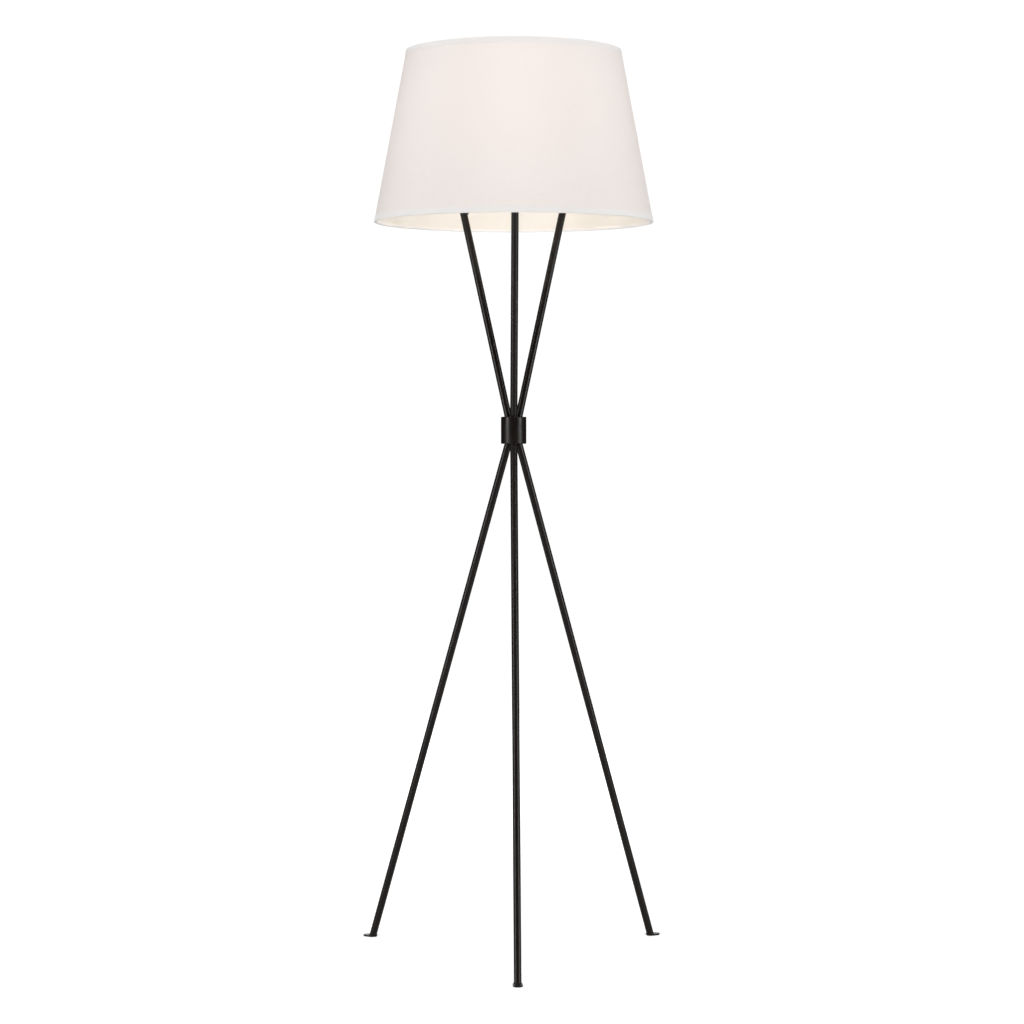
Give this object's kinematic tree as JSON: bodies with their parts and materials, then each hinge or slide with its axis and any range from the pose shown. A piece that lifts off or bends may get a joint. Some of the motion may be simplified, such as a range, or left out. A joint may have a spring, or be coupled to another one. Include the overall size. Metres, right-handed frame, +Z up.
{
  "type": "tripod floor lamp",
  "caption": "Floor lamp with slim dark tubular legs and arms that meet in a small drum hub, under a tapered white fabric drum shade.",
  "frame": {"origin": "on the lamp's axis at floor level, midway between the three feet", "axes": "+Z up along the lamp's axis; the front leg points along -Y and +X is to the right as seen from the front"},
  "size_m": [0.5326, 0.5475, 1.56],
  "materials": {
    "dark_iron": "satin dark iron powder coat",
    "black_screws": "satin black",
    "black_rubber": "matte",
    "plated_steel": "satin zinc plate",
    "aged_brass": "satin",
    "socket_brass": "satin",
    "black_metal": "satin black",
    "fibre_paper": "matte",
    "black_plastic": "moulded",
    "frosted_glass": "frosted inside",
    "clear_glass": "clear",
    "bulb_cap": "satin",
    "linen": "woven linen",
    "shade_liner": "smooth translucent white",
    "rim_tape": "folded tape",
    "ring_wire": "white-coated wire"
  },
  "bodies": {
    "stand": {"leg_front": "dark_iron", "leg_right": "dark_iron", "leg_left": "dark_iron", "toe_plate_front": "dark_iron", "toe_plate_right": "dark_iron", "toe_plate_left": "dark_iron", "foot_pad_front": "black_rubber", "foot_pad_right": "black_rubber", "foot_pad_left": "black_rubber", "leg_nipples": "plated_steel", "cord_grommet": "black_rubber", "hub_sleeve": "dark_iron", "hub_lower_block": "dark_iron", "hub_upper_block": "dark_iron", "hub_grub_screws": "black_screws", "arm_front": "dark_iron", "arm_right": "dark_iron", "arm_left": "dark_iron", "arm_nipples": "plated_steel", "arm_plugs": "plated_steel", "arm_grommet": "black_rubber", "yoke": "dark_iron", "yoke_screws": "black_screws", "socket_nipple": "plated_steel", "nipple_washer": "plated_steel", "nipple_locknut": "plated_steel", "harp_saddle": "aged_brass", "harp_wire": "aged_brass", "harp_boss": "aged_brass", "harp_stud": "aged_brass", "socket_cap": "black_metal", "socket_shell": "black_metal", "socket_insulator": "fibre_paper", "switch_body": "black_plastic", "screw_shell": "socket_brass", "centre_contact": "socket_brass", "terminal_screws": "socket_brass"},
    "ferrule_left": {"ferrule_left": "aged_brass"},
    "ferrule_right": {"ferrule_right": "aged_brass"},
    "finial": {"finial": "dark_iron"},
    "bulb": {"bulb_glass": "frosted_glass", "bulb_base": "bulb_cap", "bulb_contact": "plated_steel", "bulb_stem": "clear_glass", "bulb_filament": "socket_brass"},
    "switch": {"switch_shaft": "plated_steel", "switch_knob": "black_plastic"},
    "shade": {"shade_cover": "linen", "shade_liner": "shade_liner", "shade_top_tape": "rim_tape", "shade_bottom_tape": "rim_tape", "shade_top_ring": "ring_wire", "shade_bottom_ring": "ring_wire", "spider_washer": "ring_wire", "spider_arm_front": "ring_wire", "spider_arm_right": "ring_wire", "spider_arm_left": "ring_wire"}
  },
  "joints": [
    {"name": "shade_turn", "type": "hinge", "parent": "stand", "child": "shade", "pos_m": [0, 0, 1.535], "axis": [0, 0, 1], "continuous": true},
    {"name": "finial_unscrew", "type": "hinge", "parent": "stand", "child": "finial", "pos_m": [0, 0, 1.54], "axis": [0, 0, 1], "continuous": true},
    {"name": "bulb_unscrew", "type": "hinge", "parent": "stand", "child": "bulb", "pos_m": [0, 0, 1.36], "axis": [0, 0, 1], "continuous": true},
    {"name": "switch_turn", "type": "hinge", "parent": "stand", "child": "switch", "pos_m": [0, 0, 1.3306], "axis": [0, -1, 0], "continuous": true},
    {"name": "ferrule_left_lift", "type": "slide", "parent": "stand", "child": "ferrule_left", "axis": [0, 0, 1], "range_m": [0, 0.01]},
    {"name": "ferrule_right_lift", "type": "slide", "parent": "stand", "child": "ferrule_right", "axis": [0, 0, 1], "range_m": [0, 0.01]}
  ]
}
